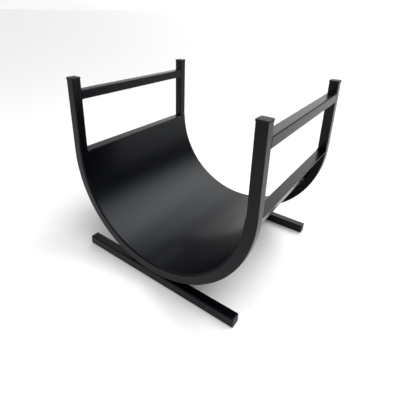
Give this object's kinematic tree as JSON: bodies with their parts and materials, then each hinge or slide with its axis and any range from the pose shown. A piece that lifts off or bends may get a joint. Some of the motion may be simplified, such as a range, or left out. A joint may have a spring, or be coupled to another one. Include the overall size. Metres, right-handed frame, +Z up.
{
  "type": "log holder",
  "caption": "Open log holder: a rolled sheet trough hung in two bent square-tube frames, with side rails and straight feet.",
  "frame": {"origin": "On the floor under the middle of the holder", "axes": "+X to the right across the trough, +Y to the rear along the trough, +Z up; the front is -Y"},
  "size_m": [0.4416, 0.3696, 0.396],
  "materials": {
    "frame_steel": "satin black powder coat on square steel tube",
    "trough_steel": "satin black powder coat on sheet steel",
    "cap_plastic": "fine-textured black moulded plastic",
    "weld_steel": "satin black powder coat over weld beads"
  },
  "bodies": {
    "root": {"front_frame": "frame_steel", "rear_frame": "frame_steel", "front_foot": "frame_steel", "rear_foot": "frame_steel", "left_side_rail": "frame_steel", "right_side_rail": "frame_steel", "log_trough": "trough_steel", "front_left_upright_cap": "cap_plastic", "front_right_upright_cap": "cap_plastic", "rear_left_upright_cap": "cap_plastic", "rear_right_upright_cap": "cap_plastic", "front_left_foot_cap": "cap_plastic", "front_right_foot_cap": "cap_plastic", "rear_left_foot_cap": "cap_plastic", "rear_right_foot_cap": "cap_plastic", "front_left_rail_welds": "weld_steel", "front_right_rail_welds": "weld_steel", "rear_left_rail_welds": "weld_steel", "rear_right_rail_welds": "weld_steel", "front_foot_welds": "weld_steel", "rear_foot_welds": "weld_steel", "front_trough_welds": "weld_steel", "rear_trough_welds": "weld_steel"}
  },
  "joints": []
}
